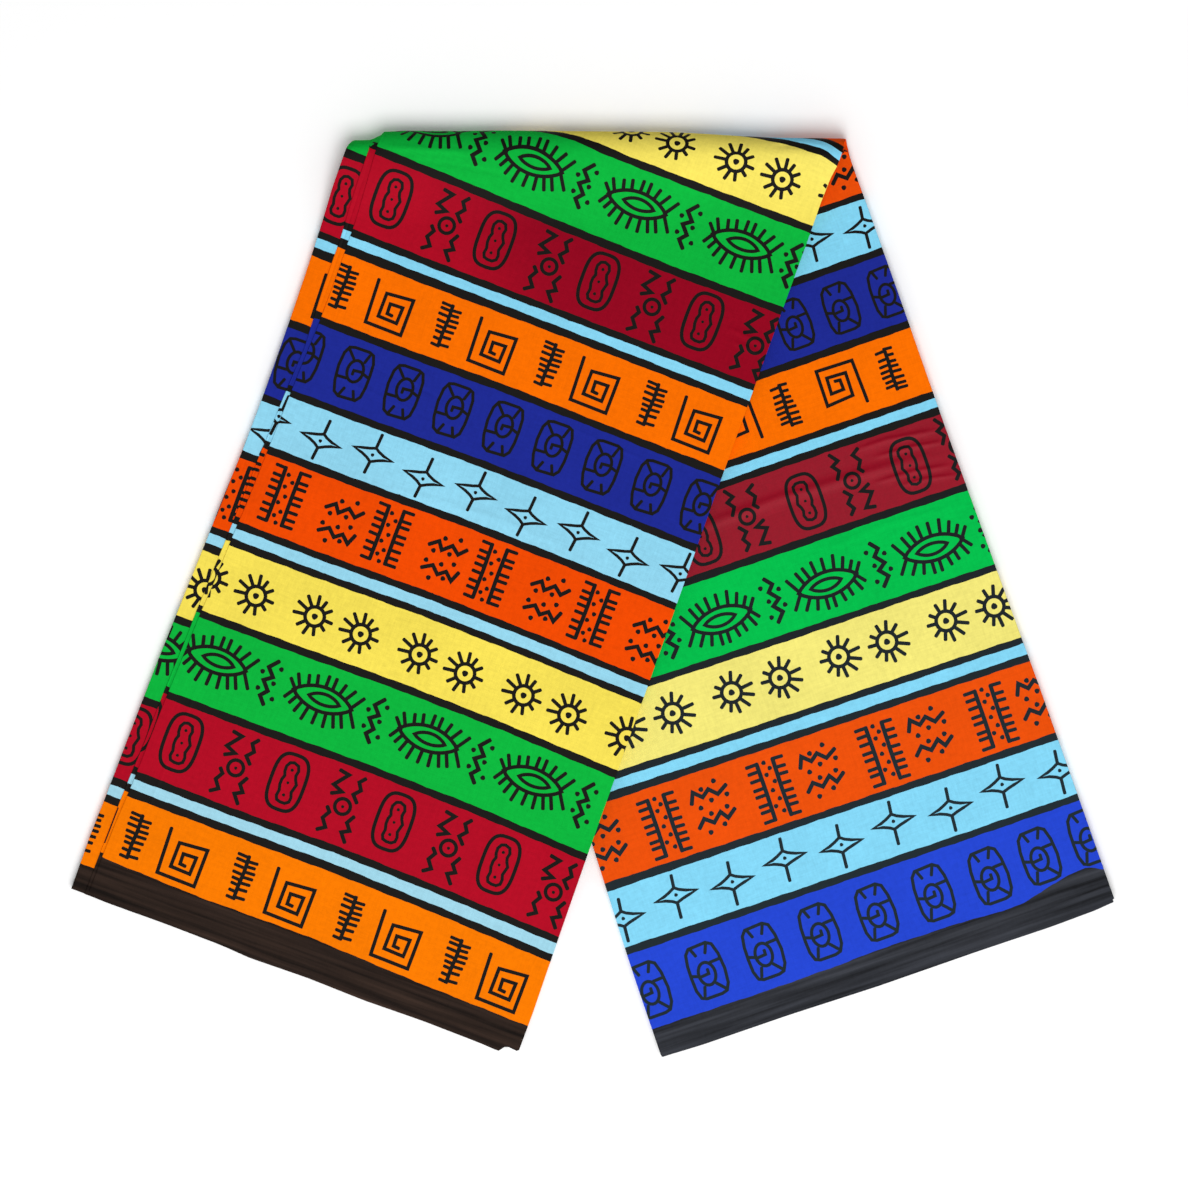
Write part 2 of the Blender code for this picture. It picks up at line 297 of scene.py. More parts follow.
def capsule():
    made = stroke(superellipse(22.4, 37.4, 3.1), 2.4, closed=True)
    inner = [
        (0.0, 13.4), (3.2, 12.2), (4.4, 9.0), (3.7, 5.8), (4.4, 3.2), (6.0, 0.2), (5.1, -3.2), (4.5, -5.4),
        (5.5, -8.8), (5.2, -11.8), (2.9, -13.5), (-0.2, -13.6), (-2.9, -12.8), (-4.0, -10.2), (-3.4, -6.6),
        (-4.3, -2.8), (-4.2, 0.8), (-3.2, 3.6), (-4.1, 6.2), (-4.2, 9.8), (-2.6, 12.6),
    ]
    made += stroke(inner, 2.1, closed=True)
    return made + dot(0.1, 8.4, 1.1) + dot(0.3, -0.2, 1.0) + dot(0.4, -8.6, 1.1)


def ring_and_zigzags():
    zigzags = (
        [(-9.3, 21.6), (-2.9, 20.4), (-10.2, 11.4), (-3.6, 8.6), (-9.8, 5.5)],
        [(8.2, 21.8), (5.0, 18.2), (7.8, 13.6), (4.0, 9.4), (8.0, 5.0)],
        [(-9.2, -3.5), (-6.7, -6.4), (-9.6, -11.4), (-5.8, -16.6), (-10.6, -19.8)],
        [(9.4, -4.0), (6.4, -9.2), (9.8, -13.6), (5.0, -16.2), (9.4, -21.8)],
    )
    middle = stroke(oval(0.1, -0.2, 5.1, 5.1), 2.4, closed=True) + dot(0.2, -0.3, 1.1)
    return middle + strokes(zigzags, 2.65)


def eye():
    x = np.linspace(-1, 1, 17)
    bow = (1 - x**2) ** 0.85

    def lens(half, up, down, middle, width):
        upper, lower = (np.stack([half * x, height * bow], 1) for height in (up, -down))
        return stroke(np.vstack([upper, lower[-2:0:-1]]) + middle, width, closed=True)

    made = lens(20.0, 8.0, 7.9, (0.0, 0.0), 2.45) + lens(10.4, 3.9, 3.1, (1.1, -0.1), 2.3)
    lashes = (
        (-17.0, 3.2, -20.4, 10.6), (-11.9, 6.0, -13.4, 12.2), (-6.5, 7.4, -7.9, 14.0),
        (-0.8, 8.0, -0.7, 15.8), (4.0, 7.8, 4.4, 15.8), (9.2, 7.0, 11.4, 14.0),
        (13.9, 5.0, 18.6, 12.2), (18.8, 0.4, 25.4, 9.8), (-18.6, -0.2, -24.0, 6.2),
        (-19.4, 0.2, -24.0, -6.6), (-16.4, -3.4, -19.7, -9.2), (-12.2, -5.8, -15.0, -13.2),
        (-7.0, -7.4, -9.0, -16.6), (-0.8, -8.0, -1.3, -16.8), (5.2, -7.8, 6.0, -16.8),
        (9.9, -7.0, 12.6, -14.8), (14.4, -4.8, 17.8, -13.0), (19.0, -0.4, 25.0, -10.4),
    )
    return made + strokes([(lash[:2], lash[2:]) for lash in lashes], 2.45)


def zigzag_column():
    zigzag = [(2.2, 15.4), (-2.9, 9.7), (1.8, 4.3), (-3.3, 0.6), (1.7, -5.2), (-2.1, -9.5), (2.1, -14.5)]
    places = ((5.3, 10.9), (-5.8, 5.7), (3.6, 0.5), (-5.1, -5.3), (6.1, -9.3))
    return stroke(zigzag, 2.8) + dots(places, 1.65)


def sun():
    made = stroke(oval(0.3, -0.1, 6.3, 6.3), 2.4, closed=True) + dot(0.3, -0.1, 2.05, 12)
    rays = ((92, 13.5), (66, 12.3), (35, 12.3), (-3, 12.8), (-35, 11.7), (-71, 12.5), (-102, 13.1),
            (-134, 12.1), (-173, 13.4), (155, 13.6), (124, 13.6))
    for degrees, far in rays:
        c, s = math.cos(math.radians(degrees)), math.sin(math.radians(degrees))
        made += stroke([(6.8 * c, 6.8 * s), (far * c - 0.5, far * s)], 2.4)
    return made


def star():
    points = [
        (-12.9, 0.4), (-7.0, 1.9), (-3.0, 2.9), (1.1, 4.3), (3.6, 2.6), (7.6, 0.9), (13.6, -0.4),
        (8.0, -1.7), (4.2, -3.2), (0.1, -5.3), (-2.8, -3.2), (-6.8, -1.4),
    ]
    made = stroke(points, 1.95, closed=True) + dot(0.2, -0.6, 1.2)
    return made + strokes([[(1.0, 4.2), (1.8, 13.9)], [(0.1, -5.2), (-0.9, -13.2)]], 2.15)


def double_comb():
    backs = [(-5.3, 18.6), (-5.1, 2.3), (-5.5, -18.4)], [(5.2, 18.6), (4.9, 1.0), (5.0, -18.4)]
    left = (18.2, 12.2, 7.9, 3.2, -1.8, -7.8, -12.4, -18.2)
    right = (18.2, 11.8, 7.8, 1.7, -2.6, -8.3, -13.4, -18.0)
    places = ((-2.0, 14.5), (2.0, 10.4), (-1.8, 6.5), (0.6, 0.4), (-2.4, -4.6), (1.2, -9.9),
              (-2.0, -13.3), (0.6, -17.6))
    made = strokes(backs, 2.7)
    made += strokes([[(-11.6, y + 0.2), (-5.3, y - 0.1)] for y in left], 2.3)
    made += strokes([[(5.0, y), (11.9, y + 0.1)] for y in right], 2.3)
    return made + dots(places, 1.5)


def zigzag_group():
    zigzags = (
        [(-12.4, 0.9), (-6.7, 5.1), (-3.3, 0.1), (2.5, 5.1), (7.7, 0.9), (12.4, 5.7)],
        [(-12.0, -14.9), (-5.4, -11.0), (-0.6, -15.7), (4.2, -12.1), (9.2, -16.8), (12.1, -10.0)],
    )
    places = ((-3.5, 8.0), (6.4, 10.2), (-8.3, -1.9), (2.4, -0.8), (-10.7, -9.2), (-0.4, -8.7),
              (7.4, -6.1), (3.7, -17.0), (-5.4, -19.6))
    return strokes(zigzags, 2.65) + dots(places, 1.65)


def oblong():
    rim = [
        (-7.6, 15.4), (-4.2, 16.4), (5.8, 16.5), (8.8, 15.2), (10.6, 10.0), (11.0, 2.05), (10.9, -6.0),
        (9.8, -13.0), (7.2, -16.2), (-4.2, -16.9), (-7.6, -14.8), (-9.6, -8.0), (-10.6, 2.05),
        (-9.8, 11.0),
    ]
    inside = (
        [(-7.4, 14.2), (-2.6, 9.0)],
        [(6.6, 14.6), (4.8, 9.0)],
        [(-9.2, -4.7), (-3.0, -4.3)],
        [(5.8, 2.05), (10.6, 0.4)],
        [(5.6, 2.6), (-0.1, 2.05), (-0.2, -0.8)],
        [(-2.0, -10.6), (-4.2, -16.0)],
        [(4.0, -10.6), (6.0, -15.6)],
    )
    width = 2.05
    made = stroke(rim, width, closed=True) + stroke(oval(0.9, 1.8, 5.2, 7.2), width, closed=True)
    return made + strokes(inside, width)


# A thin ink line, a painted shadow where the gap beside the second layer's edge lies in shade
def slit():
    return stroke([(-0.2, -12.1), (0.2, 12.1)], 0.9)


DRAWN = {
    draw.__name__: draw()
    for draw in (comb, spiral, capsule, ring_and_zigzags, eye, zigzag_column, sun, star,
                 double_comb, zigzag_group, oblong, slit)
}

# Rows of motifs, by where each row crosses the strip's middle line, its first and last u and how many
# there are, or by one u where there is one
LEFT_MOTIFS = (
    ("comb", -531.6, -126.8, 95.6, 4),
    ("spiral", -533.7, -92.9, 129.9, 4),
    ("capsule", -463.1, -119.4, 101.3, 4),
    ("ring_and_zigzags", -465.6, -80.8, 140.6, 4),
    ("eye", -404.9, -116.0, 103.2, 4),
    ("zigzag_column", -406.5, -80.0, 139.2, 4),
    ("sun", -355.8, -139.0, 150.8, 5),
    ("sun", -356.5, -107.0, 110.2, 4),
    ("double_comb", -290.3, -111.7, 102.9, 4),
    ("double_comb", -291.0, -148.0),
    ("zigzag_group", -287.5, -71.7, 142.5, 4),
    ("star", -244.2, -138.6, 146.8, 5),
    ("star", -247.6, -102.2, 111.1, 4),
    ("oblong", -199.8, -131.6, 143.8, 9),
    ("comb", -150.1, -122.5, 91.6, 4),
    ("spiral", -152.5, -89.1, 124.2, 4),
    ("capsule", -88.2, -112.2, 104.2, 4),
    ("ring_and_zigzags", -90.7, -72.8, 141.7, 4),
    ("eye", -32.7, -106.2, 110.8, 4),
    ("zigzag_column", -34.3, -70.4, 146.0, 4),
    ("sun", 15.3, -127.4, 161.0, 5),
    ("sun", 14.9, -96.8, 121.0, 4),
)
RIGHT_MOTIFS = (
    ("zigzag_group", 72.7, 68.0, 145.6, 2),
    ("double_comb", 72.0, -111.0, 105.1, 4),
    ("star", 111.6, -139.9, 144.1, 5),
    ("star", 108.5, -104.1, 108.9, 4),
    ("oblong", 156.3, 80.3, 144.0, 3),
    ("oblong", 156.9, -127.0, 46.0, 6),
    ("comb", 204.6, -87.0, 129.4, 4),
    ("spiral", 203.9, -121.0, 95.7, 4),
    ("capsule", 267.7, -94.2, 121.0, 4),
    ("ring_and_zigzags", 265.0, -134.0, 154.2, 5),
    ("eye", 322.7, -100.2, 117.8, 4),
    ("zigzag_column", 321.0, -136.0, 153.7, 5),
    ("sun", 370.8, -150.6, 142.8, 5),
    ("sun", 370.0, -110.0, 110.1, 4),
    ("double_comb", 438.1, -106.3, 117.6, 4),
    ("zigzag_group", 441.1, -146.8, 150.4, 5),
    ("star", 486.7, -151.2, 148.0, 5),
    ("star", 483.1, -113.8, 109.7, 4),
    ("oblong", 536.9, 83.1, 152.1, 3),
    ("oblong", 535.0, -149.6, 44.7, 6),
)
OUTER_MOTIFS = (
    ("comb", -538.4, -157.6),
    ("capsule", -470.6, -152.4),
    ("eye", -410.0, -155.8),
    ("sun", -364.5, -139.6),
    ("double_comb", -299.0, -144.4),
    ("star", -257.2, -134.6),
    ("oblong", -208.2, -135.6),
    ("spiral", -161.8, -122.8),
    ("capsule", -98.1, -143.4),
)
SECOND_MOTIFS = (
    ("star", -242.2, -133.0),
    ("sun", -354.5, -141.3),
    ("double_comb", -288.2, -145.2),
    # a painted shadow line along the second layer's edge
    ("slit", -530.5, -143.7),
    ("capsule", -460.2, -149.8),
)
# How big the motifs of each row are, by v
SIZES = along(((-560, 1.0), (-200, 1.0), (-170, 0.957), (-120, 0.96), (-90, 0.978), (-30, 0.99), (20, 1.0),
               (110, 1.0), (157, 0.95), (205, 0.945), (268, 0.95), (323, 0.995), (371, 1.02), (438, 1.045),
               (485, 1.04), (534, 1.05)))


def drift(u, v):
    """How far the band that holds v, on the strip's middle line, lies further along it at u."""
    k = (STARTS[:, MIDDLE] < v).sum()
    return np.mean([np.interp(u, LINE_PLACES, line) - line[MIDDLE] for line in STARTS[k - 1 : k + 1]])


def placed(rows, mirrored=False):
    """All the polygons of these rows of motifs, in the flat drawing."""
    made = []
    for name, middle, *span in rows:
        for u in np.linspace(*span) if len(span) > 1 else span:
            v = middle + drift(u, middle)
            size = SIZES(v)
            for sign, polygon in DRAWN[name]:
                made.append((sign, polygon * ((-size, size) if mirrored else (size, size)) + (u, v)))
    return made


# The cloth's materials


def linear(colour):
    c = np.array(colour, float) / 255
    made = np.where(c <= 0.04045, c / 12.92, ((c + 0.055) / 1.055) ** 2.4)
    return (*(made / LIT).tolist(), 1.0)


THREADS = 560  # scale of the weave: its threads lie about 0.6 mm apart
SLUBS = (900, 90)  # scales of the thick places in a thread, across it and along it
CLOUDS, FLECKS = 22.0, 320.0  # scales of the soft and the fine changes of shade


def fill(node, inputs):
    """Give a node its inputs, by name or number, each a value or another node's output."""
    for key, value in inputs.items():
        if isinstance(value, bpy.types.NodeSocket):
            node.id_data.links.new(value, node.inputs[key])
        else:
            node.inputs[key].default_value = value


def add_node(tree, kind, output, inputs, **settings):
    """One output of a new node with these inputs and settings."""
    made = tree.nodes.new("ShaderNode" + kind)
    for key, value in settings.items():
        setattr(made, key, value)
    fill(made, inputs)
    return made.outputs[output]


def cloth_material(name, tint_and_shade, rough=0.62, gloss=0.01, sheen=0.0, highlight_streaks=0.0, slant=0.0):
    """Printed cotton whose colour turns along the cloth, as tint_and_shade says: partly its own colour,
    partly painted shade.

    gloss is how much it shines, and sheen how much on the far leg, where that is more. highlight_streaks
    is how strongly its shade is drawn out in lighter and darker streaks along the strip, painted
    highlights of fine ridges; slant is how far the turn follows u too.
    """
    near, far, low, high = tint_and_shade
    made = bpy.data.materials.new(name)
    made.use_nodes = True
    tree = made.node_tree
    uv = add_node(tree, "UVMap", "UV", {}, uv_map="cloth")

    def scaled(x, y, turn=0.0):
        inputs = {"Vector": uv, "Rotation": (0, 0, turn), "Scale": (x, y, 1)}
        return add_node(tree, "Mapping", "Vector", inputs)

    def noise(vector, scale, detail=2.0):
        return add_node(tree, "TexNoise", "Fac", {"Vector": vector, "Scale": scale, "Detail": detail})

    def threads(vector):
        inputs = {"Vector": vector, "Scale": 1.0, "Distortion": 0.6, "Detail": 1.0, "Detail Scale": 0.25}
        return add_node(tree, "TexWave", "Fac", inputs)

    def sum_of(kind, *values):
        return add_node(tree, "Math", "Value", dict(enumerate(values)), operation=kind)

    def swing(source, size, middle=0.5):
        """A source that varies round its middle, made to vary by size round nought."""
        return sum_of("MULTIPLY_ADD", source, size, -size * middle)

    def ranged(kind, *values):
        """The first value, taken from one range into another."""
        inputs = zip(("Value", "From Min", "From Max", "To Min", "To Max"), values)
        return add_node(tree, "MapRange", "Result", dict(inputs), interpolation_type=kind)

    weave = sum_of("ADD", threads(scaled(THREADS, 24)), threads(scaled(THREADS, THREADS, math.pi / 2)))
    slubs = sum_of("ADD", noise(scaled(*SLUBS), 1.0), noise(scaled(*SLUBS[::-1]), 1.0))
    clouds, flecks = noise(uv, CLOUDS, 3.0), noise(uv, FLECKS, 3.0)
    shades = sum_of("ADD", swing(slubs, 0.16, 1.0), swing(clouds, 0.22))
    value = sum_of("ADD", shades, sum_of("ADD", swing(flecks, 0.22), 1.0))
    # Painted highlights: lighter and darker streaks drawn out along the strip, for the light on fine ridges
    if highlight_streaks:
        drawn = swing(noise(scaled(10, 270), 1.0, 3.0), highlight_streaks)
        value = sum_of("MAXIMUM", sum_of("ADD", value, drawn), 0.3)

    u = add_node(tree, "SeparateXYZ", "X", {"Vector": uv})
    v = u.node.outputs["Y"]
    turned = ranged("SMOOTHSTEP", sum_of("MULTIPLY_ADD", u, slant, v), low, high, 0.0, 1.0)
    blend = {"Color1": linear(near), "Color2": linear(far), "Fac": turned}
    shade = {"Color": add_node(tree, "MixRGB", "Color", blend), "Value": value}
    height = sum_of("ADD", sum_of("MULTIPLY", weave, 0.5), sum_of("MULTIPLY", slubs, 0.8))
    bump = {"Strength": 0.35, "Distance": 0.00012, "Height": height}
    shine = ranged("LINEAR", v, 0.0, 0.2, gloss, sheen) if sheen > gloss else gloss
    fill(tree.nodes["Principled BSDF"], {
        "Base Color": add_node(tree, "HueSaturation", "Color", shade),
        "Roughness": sum_of("MULTIPLY_ADD", clouds, 0.12, rough - 0.06),
        "Specular IOR Level": shine,
        "Normal": add_node(tree, "Bump", "Normal", bump),
    })
    return made


FINISH = {
    "ink": {"rough": 0.55, "gloss": 0.05},
    # The selvage's streaks are painted highlights of its fine ridges
    "selvage": {"rough": 0.55, "gloss": 0.05, "highlight_streaks": 3.4},
    "crimson": {"rough": 0.45, "sheen": 0.1, "slant": 1.0},
}
MATERIALS = {
    name: cloth_material("print_" + name, tint_and_shade, **FINISH.get(name, {})) for name, tint_and_shade in TINTS_AND_SHADE.items()
}
NAMES = list(MATERIALS)
NUMBER = np.array([NAMES.index(name) for name in COLOURS])
INK, SELVAGE = NAMES.index("ink"), NAMES.index("selvage")


def colour_numbers(u, v, shift=0.0):
    """The material number of each place, from the printed lines alone."""
    return NUMBER[(v - shift > line_starts(u)).sum(0)]


# Sheets


def add_to_scene(name, data):
    made = bpy.data.objects.new(name, data)
    bpy.context.scene.collection.objects.link(made)
    return made


def finished(name, points, faces, numbers, flat, normals, replaced=()):
    """A mesh object of these faces, in the materials of these numbers. flat is each point's (u, v)."""
    mesh = bpy.data.meshes.new(name)
    mesh.from_pydata(points.tolist(), [], faces.tolist())
    worn, index = np.unique(numbers, return_inverse=True)
    for k in worn:
        mesh.materials.append(MATERIALS[NAMES[k]])
    mesh.polygons.foreach_set("material_index", index)
    layer = mesh.uv_layers.new(name="cloth")
    corner = np.empty(len(mesh.loops), int)
    mesh.loops.foreach_get("vertex_index", corner)
    layer.uv.foreach_set("vector", (flat[corner] / 1000).astype(np.float32).ravel())
    mesh.shade_smooth()
    if normals is not None:
        mesh.normals_split_custom_set_from_vertices(normals.tolist())
    made = add_to_scene(name, mesh)
    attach(made, "root")
    if replaced:
        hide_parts(*replaced)
    return made


LINE_STEP = 3.0  # between the points of a printed line
LINE_MARGIN = 6.0  # how far the printed lines run on past a sheet's sides
ROUND_STEP, ALONG_STEP = 1.4, 5.0  # between the points where the cloth bends, round the roll and along it
MERGE = 1e-3  # points closer than this are one
SLIVER = 1e-5  # least area of a triangle, times two
NUDGE = 0.05  # step to the side by which a sheet's slope is found


def anticlockwise(polygon):
    return polygon if doubled(polygon) > 0 else polygon[::-1]


def loose_points(low, high, step, roll):
    """Points spread over a sheet, in rows along the roll where the cloth bends."""
    grid = np.stack(np.meshgrid(np.arange(low[0], high[0], step), np.arange(low[1], high[1], step)), -1)
    grid[1::2, :, 0] += step / 2
    grid = grid.reshape(-1, 2)
    if not roll:
        return grid
    s, _ = from_fold(*grid.T)
    ts = np.arange(-HALF_WIDTH * 1.5, HALF_WIDTH * 1.5, ALONG_STEP)
    ss = np.arange(roll[0], roll[1] + 0.1, ROUND_STEP)
    bent = np.stack(unfold(*np.meshgrid(ss, ts)), -1).reshape(-1, 2)
    bent = bent[(bent > low).all(1) & (bent < high).all(1)]
    return np.vstack([grid[(s < roll[0]) | (s > roll[1])], bent])


def cut(rim, lines, polygons, columns, loose):
    """Flat triangles inside rim, cut along these lines and polygons, and which of them are inked."""
    points, edges, faces = [], [], []

    def add(line):
        first = len(points)
        points.extend(map(Vector, line))
        return list(range(first, len(points)))

    def add_lines(group):
        for line in group:
            ids = add(line)
            edges.extend(zip(ids, ids[1:]))

    faces.append(add(anticlockwise(rim)))
    add_lines(lines)
    faces.extend(add(anticlockwise(polygon)) for _, polygon in polygons)
    add_lines(columns)
    add(loose)
    flat, _, out, _, _, origin = delaunay_2d_cdt(points, edges, faces, 0, MERGE, True)
    flat = np.array(flat)
    signs = np.array([0] + [sign for sign, _ in polygons])
    inside = [k for k, from_faces in enumerate(origin) if 0 in from_faces]
    inked = np.array([signs[origin[k]].sum() > 0 for k in inside])
    out = np.array([out[k] for k in inside])
    a, b, c = flat[out.T]
    (bx, by), (cx, cy) = (b - a).T, (c - a).T
    whole = bx * cy - by * cx > SLIVER
    used, out = np.unique(out[whole], return_inverse=True)
    return flat[used], out.reshape(-1, 3), inked[whole]


def printed(name, replaced, rim, carry, motifs, shift=0.0, step=4.0, roll=None, columns=(), flip=False):
    """A sheet whose outline is rim, with the print cut into it, carried to its place by carry(u, v).

    shift is how far along the strip its bands lie from BANDS, step is between its loose points,
    roll is (first s, last s) of a stretch that bends, and columns are more lines of points.
    """
    low, high = rim.min(0), rim.max(0)
    across = np.arange(low[0] - LINE_MARGIN, high[0] + LINE_MARGIN + 0.1, LINE_STEP)
    rows = [row for row in line_starts(across) + shift if row.max() > low[1] and row.min() < high[1]]
    lines = [np.stack([across, row], 1) for row in rows]
    near = [(sign, polygon) for sign, polygon in motifs
            if (polygon.max(0) > low).all() and (polygon.min(0) < high).all()]
    flat, out, inked = cut(rim, lines, near, columns, loose_points(low, high, step, roll))
    numbers = colour_numbers(*flat[out].mean(1).T, shift)
    numbers[inked & (numbers != SELVAGE)] = INK
    du, dv = (carry(*(flat + way).T) - carry(*(flat - way).T) for way in ((NUDGE, 0), (0, NUDGE)))
    normals = unit(np.cross(du, dv))
    if flip:
        out, normals = out[:, ::-1], -normals
    return finished(name, carry(*flat.T), out, numbers, flat, normals, replaced)


# The layers' edges as they lie, by v: the left leg's left ones and its right one, then the right leg's
TOP_EDGE = along(((-590, -142.8), (-560, -142.4), (-530, -141.9), (-500, -140.3), (-480, -139.8),
                  (-440, -138.9), (-400, -137.4), (-380, -136.8), (-360, -135.4), (-320, -134.1),
                  (-300, -132.9), (-265, -132.0), (-230, -131.0), (-205, -130.3), (-180, -129.2),
                  (-140, -129.0), (-120, -129.3), (-106, -129.3), (-80, -130.9), (-60, -132.3),
                  (-50, -132.9), (-38, -134.3), (0, -135.5)))
SECOND_EDGE = along(((-590, -145.0), (-560, -144.6), (-530, -144.2), (-510, -143.8), (-495, -143.3),
                     (-470, -142.1), (-435, -141.5), (-400, -140.0), (-380, -139.7), (-335, -137.9),
                     (-320, -137.4), (-265, -135.8), (-250, -135.0), (-230, -134.4), (-195, -132.6),
                     (-180, -133.3), (-160, -134.3), (-140, -134.8), (-120, -134.8), (-100, -136.1),
                     (-80, -136.7), (-60, -136.8), (-51, -139.2), (-40, -140.4), (0, -141.0)))
OUTER_EDGE = along(((-590, -154.2), (-570, -154.1), (-540, -154.4), (-510, -153.6), (-480, -153.2),
                    (-450, -152.7), (-420, -152.2), (-390, -151.3), (-360, -150.3), (-330, -149.3),
                    (-300, -148.6), (-270, -147.4), (-240, -147.1), (-210, -147.2), (-180, -147.7),
                    (-150, -148.4), (-120, -149.5), (-90, -150.9), (-60, -150.9), (0, -151.2)))
LOW_EDGE = along(((-590, -153.8), (-300, -148.2), (-240, -146.8), (-150, -148.0), (-60, -150.6),
                  (600, -151.6)))
RIGHT_EDGE = along(((-590, 155.0), (-550, 155.2), (-530, 154.8), (-490, 154.0), (-440, 153.2),
                    (-330, 152.3), (-200, 150.9), (-100, 150.5), (-10, 150.3), (15, 149.8), (36, 150.5),
                    (50, 149.6), (64.5, 146.5), (75, 144.4), (90, 141.5), (110, 138.0)))
RIGHT_LEFT = along(((-100, -152.0), (300, -152.2), (400, -153.6), (440, -154.9), (470, -155.7), (490, -156.3),
                    (510, -156.8), (530, -157.1), (590, -157.4)))
RIGHT_RIGHT = along(((-100, 149.2), (70, 149.2), (100, 149.7), (160, 150.2), (250, 150.5), (310, 151.3),
                     (370, 152.1), (430, 153.2), (490, 153.6), (590, 154.2)))
LEAF = LAYER  # radius of the fold between two layers
CURL = LEAF * math.pi  # cloth taken up by an edge's fold
FLANGE = LEAF - CURL - 2.0  # how far a sheet's rim lies past its edge, round the fold and under it


def top_bulge(t):
    return (1.8 + 0.75 * smooth((t + 140) / 16) + 0.7 * smooth((t + 105) / 50)) * (1 - smooth((t - 35) / 90))


def second_bulge(t):
    return -4.0 + 6.3 * smooth((t + 150) / 12)


def outer_bulge(t):
    return -2.0 - 4.0 * (1 - smooth((t + 166) / 8)) + 4.4 * smooth((t + 150) / 12)


def hidden_bulge(t):
    return outer_bulge(t) - 1.6 - 0.9 * smooth((t - 25) / 85)


def top_settle(s, t):
    """How far the top layer has slipped back from the roll, where it is puffed up, or been drawn on."""
    slipped = 3.6 * smooth((t + 5) / 60) - 1.8 * smooth((t + 110) / 50) - 0.8 * smooth((t - 105) / 20)
    return slipped * smooth((s + 18) / 18) + 5.4 * smooth((t - 143) / 18) * smooth((s + 34) / 22)


def top_puff(s, t):
    """How far the top layer is puffed up beside the roll."""
    return 1.7 * smooth((t - 10) / 80) * smooth((s + 34) / 24) * (1 - smooth((s - 4) / 8))


def ridge(points, wide, high):
    """A soft ridge, or a trough where high is below 0, along a few (u, v) points, fading at its ends."""
    points = np.array(points, float)
    across = np.ptp(points[:, 1]) > np.ptp(points[:, 0])  # whether it runs more along v than along u
    places, values = points.T[::-1] if across else points.T
    length = places[-1] - places[0]

    def height(u, v):
        a, b = (v, u) if across else (u, v)
        here = np.interp(a, places, values)
        fade = smooth((a - places[0]) / (0.3 * length)) * smooth((places[-1] - a) / (0.3 * length))
        return high * fade * np.exp(-(((b - here) / wide) ** 2))

    fine = np.linspace(places[0], places[-1], max(3, int(length / 3)))
    lines = []
    for offset in (-1.6, -0.8, 0.0, 0.8, 1.6):
        line = np.stack([fine, np.interp(fine, places, values) + offset * wide], 1)
        lines.append(line[:, ::-1] if across else line)
    return height, lines


def sheet_carry(n, anchor, left=None, right=None, down=-1, bulge=None, settle=None, relief=()):
    """How a layer at height n is carried, curled round its folds at the edges left(v), right(v)."""

    def carry(u, v):
        across, height = u.copy(), np.full_like(u, n)
        for edge, sign in ((left, 1), (right, -1)):
            if edge is None:
                continue
            inner = (u - edge(v)) * sign - LEAF
            turn = np.clip(-inner / LEAF, 0, math.pi)
            curled = edge(v) * sign + LEAF - LEAF * np.sin(turn)
            back = np.maximum(-inner - LEAF * math.pi, 0)
            across = np.where(inner < 0, sign * (curled + back), across)
            height = np.where(inner < 0, n + down * LEAF * (1 - np.cos(turn)), height)
        points = place(across, v, height, anchor, bulge, settle)
        if settle is not None:
            points[:, 2] += top_puff(*from_fold(u, v)) / 1000
        for fold, _ in relief:
            points[:, 2] += fold(u, v) / 1000
        return points

    return carry


def side_line(edge, low, high, offset, step=5.0):
    v = np.linspace(low, high, max(2, round(abs(high - low) / step)))
    return np.stack([edge(v) + offset, v], 1)


def outline_of(left, right, selvage, far, offset_left=FLANGE, offset_right=0.0):
    """A sheet's rim: selvage(u) at one end, and the distance far(t) from the fold line at the other."""
    sides = []
    for edge, offset, corner in ((left, offset_left, -150.0), (right, offset_right, 150.0)):
        start = float(selvage(edge(selvage(corner))))
        up = 1 if start < 0 else -1
        v = np.linspace(-140, 160, 3001)[::up]
        u = edge(v) + offset
        s, t = from_fold(u, v)
        end = v[np.argmax(up * s > up * far(t))]
        side = side_line(edge, start, end, offset)
        side[0, 1] = selvage(side[0, 0])
        sides.append(side)
    a, b = sides
    u = np.linspace(a[0, 0], b[0, 0], 60)[1:-1]
    t = np.linspace(*(from_fold(*side[-1])[1] for side in (b, a)), 60)[1:-1]
    return np.vstack([np.stack([u, selvage(u)], 1), b, np.stack(unfold(far(t), t), 1), a[::-1]])


def end_of(v, waver, phase):
    """A layer's end at its selvage: nearly straight."""
    return lambda u: v + waver * (np.sin(u * 0.029 + phase) + 0.5 * np.sin(u * 0.11 + 2 * phase))


BACK = 0.5  # how far a layer stops short of the end of its turn round the roll
PAST_ROLL = 60.0  # an s that is well past the roll


def far_end(n, bulge, settle=None):
    """How far from the fold line a layer of the left leg has gone round the roll, at t along it."""
    return lambda t: (
        -HALF_ROLL + math.pi * (ROLL + n + bulge(t)) - BACK + (0 if settle is None else settle(PAST_ROLL, t))
    )


FOLD_START = -HALF_ROLL - 1.4  # an s just before the roll
FOLD_ROWS = [LEAF - LEAF * x for x in (0.0, 0.55, 1.1, 1.57, 2.1, 2.6)]  # of points, round an edge's fold


def edge_rows(edge, low, high, sign=1):
    return [side_line(edge, low, high, sign * offset) for offset in FOLD_ROWS]


def crease_rows(relief):
    return [line for _, lines in relief for line in lines]
